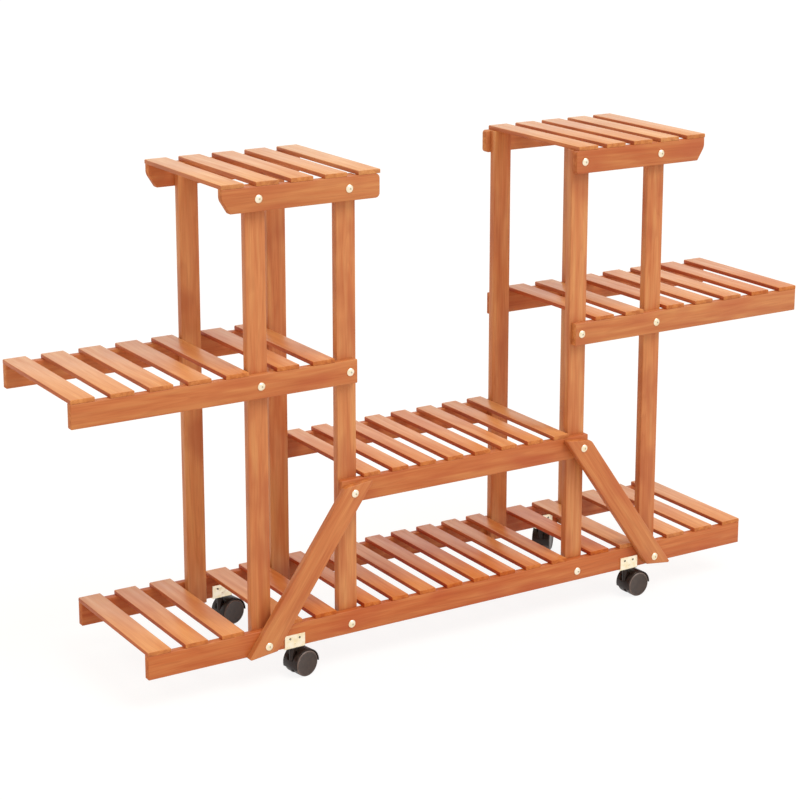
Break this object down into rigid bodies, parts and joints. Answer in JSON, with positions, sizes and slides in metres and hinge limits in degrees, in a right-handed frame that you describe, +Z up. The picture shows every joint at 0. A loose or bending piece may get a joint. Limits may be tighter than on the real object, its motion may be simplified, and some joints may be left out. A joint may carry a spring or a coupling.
{
  "type": "flower cart stand",
  "caption": "Slatted wooden plant stand with two towers of shelves joined by a low centre shelf, rolling on castors.",
  "frame": {"origin": "on the floor, at the middle of the whole footprint, 9 mm behind the middle of the shelves' depth", "axes": "+X to the right along the stand, +Y to the back, +Z up"},
  "size_m": [1.302, 0.2988, 0.7572],
  "materials": {
    "slat_wood": "satin, stained softwood slats",
    "rail_wood": "satin, stained softwood rails",
    "post_wood": "satin, stained softwood posts",
    "screw_steel": "cream plated steel",
    "bracket_steel": "cream plated sheet steel",
    "pin_steel": "turned steel",
    "hood_plastic": "moulded black plastic",
    "wheel_plastic": "moulded dark grey plastic"
  },
  "bodies": {
    "stand": {"back_left_bracket": "bracket_steel", "back_left_pin": "pin_steel", "back_right_bracket": "bracket_steel", "back_right_pin": "pin_steel", "bottom_back_rail": "rail_wood", "bottom_front_rail": "rail_wood", "bottom_left_slats": "slat_wood", "bottom_middle_slats": "slat_wood", "bottom_right_slats": "slat_wood", "bracket_screws": "screw_steel", "centre_back_rail": "rail_wood", "centre_front_rail": "rail_wood", "centre_slats": "slat_wood", "frame_screws": "screw_steel", "front_left_bracket": "bracket_steel", "front_left_pin": "pin_steel", "front_right_bracket": "bracket_steel", "front_right_pin": "pin_steel", "inner_left_back_post": "post_wood", "inner_left_front_post": "post_wood", "inner_right_back_post": "post_wood", "inner_right_front_post": "post_wood", "left_brace": "rail_wood", "mid_left_back_rail": "rail_wood", "mid_left_front_rail": "rail_wood", "mid_left_slats": "slat_wood", "mid_right_back_rail": "rail_wood", "mid_right_front_rail": "rail_wood", "mid_right_slats": "slat_wood", "outer_left_back_post": "post_wood", "outer_left_front_post": "post_wood", "outer_right_back_post": "post_wood", "outer_right_front_post": "post_wood", "right_brace": "rail_wood", "top_left_back_rail": "rail_wood", "top_left_front_rail": "rail_wood", "top_left_slats": "slat_wood", "top_right_back_rail": "rail_wood", "top_right_front_rail": "rail_wood", "top_right_slats": "slat_wood"},
    "front_left_castor": {"front_left_housing": "hood_plastic", "front_left_axle": "pin_steel"},
    "front_left_wheel_a": {"front_left_wheel_a": "wheel_plastic"},
    "front_left_wheel_b": {"front_left_wheel_b": "wheel_plastic"},
    "front_right_castor": {"front_right_housing": "hood_plastic", "front_right_axle": "pin_steel"},
    "front_right_wheel_a": {"front_right_wheel_a": "wheel_plastic"},
    "front_right_wheel_b": {"front_right_wheel_b": "wheel_plastic"},
    "back_left_castor": {"back_left_housing": "hood_plastic", "back_left_axle": "pin_steel"},
    "back_left_wheel_a": {"back_left_wheel_a": "wheel_plastic"},
    "back_left_wheel_b": {"back_left_wheel_b": "wheel_plastic"},
    "back_right_castor": {"back_right_housing": "hood_plastic", "back_right_axle": "pin_steel"},
    "back_right_wheel_a": {"back_right_wheel_a": "wheel_plastic"},
    "back_right_wheel_b": {"back_right_wheel_b": "wheel_plastic"}
  },
  "joints": [
    {"name": "front_left_swivel", "type": "hinge", "parent": "stand", "child": "front_left_castor", "pos_m": [-0.309, -0.1265, 0.045], "axis": [0, 0, 1], "continuous": true},
    {"name": "front_left_wheel_a_roll", "type": "hinge", "parent": "front_left_castor", "child": "front_left_wheel_a", "pos_m": [-0.2923, -0.12331, 0.02], "axis": [-0.1874, 0.9823, 0], "continuous": true},
    {"name": "front_left_wheel_b_roll", "type": "hinge", "parent": "front_left_castor", "child": "front_left_wheel_b", "pos_m": [-0.2923, -0.12331, 0.02], "axis": [-0.1874, 0.9823, 0], "continuous": true},
    {"name": "front_right_swivel", "type": "hinge", "parent": "stand", "child": "front_right_castor", "pos_m": [0.313, -0.1265, 0.045], "axis": [0, 0, 1], "continuous": true},
    {"name": "front_right_wheel_a_roll", "type": "hinge", "parent": "front_right_castor", "child": "front_right_wheel_a", "pos_m": [0.32998, -0.12567, 0.02], "axis": [-0.0488, 0.9988, 0], "continuous": true},
    {"name": "front_right_wheel_b_roll", "type": "hinge", "parent": "front_right_castor", "child": "front_right_wheel_b", "pos_m": [0.32998, -0.12567, 0.02], "axis": [-0.0488, 0.9988, 0], "continuous": true},
    {"name": "back_left_swivel", "type": "hinge", "parent": "stand", "child": "back_left_castor", "pos_m": [-0.309, 0.1115, 0.045], "axis": [0, 0, 1], "continuous": true},
    {"name": "back_left_wheel_a_roll", "type": "hinge", "parent": "back_left_castor", "child": "back_left_wheel_a", "pos_m": [-0.2923, 0.11469, 0.02], "axis": [-0.1874, 0.9823, 0], "continuous": true},
    {"name": "back_left_wheel_b_roll", "type": "hinge", "parent": "back_left_castor", "child": "back_left_wheel_b", "pos_m": [-0.2923, 0.11469, 0.02], "axis": [-0.1874, 0.9823, 0], "continuous": true},
    {"name": "back_right_swivel", "type": "hinge", "parent": "stand", "child": "back_right_castor", "pos_m": [0.313, 0.1115, 0.045], "axis": [0, 0, 1], "continuous": true},
    {"name": "back_right_wheel_a_roll", "type": "hinge", "parent": "back_right_castor", "child": "back_right_wheel_a", "pos_m": [0.32523, 0.12331, 0.02], "axis": [-0.6947, 0.7193, 0], "continuous": true},
    {"name": "back_right_wheel_b_roll", "type": "hinge", "parent": "back_right_castor", "child": "back_right_wheel_b", "pos_m": [0.32523, 0.12331, 0.02], "axis": [-0.6947, 0.7193, 0], "continuous": true}
  ]
}
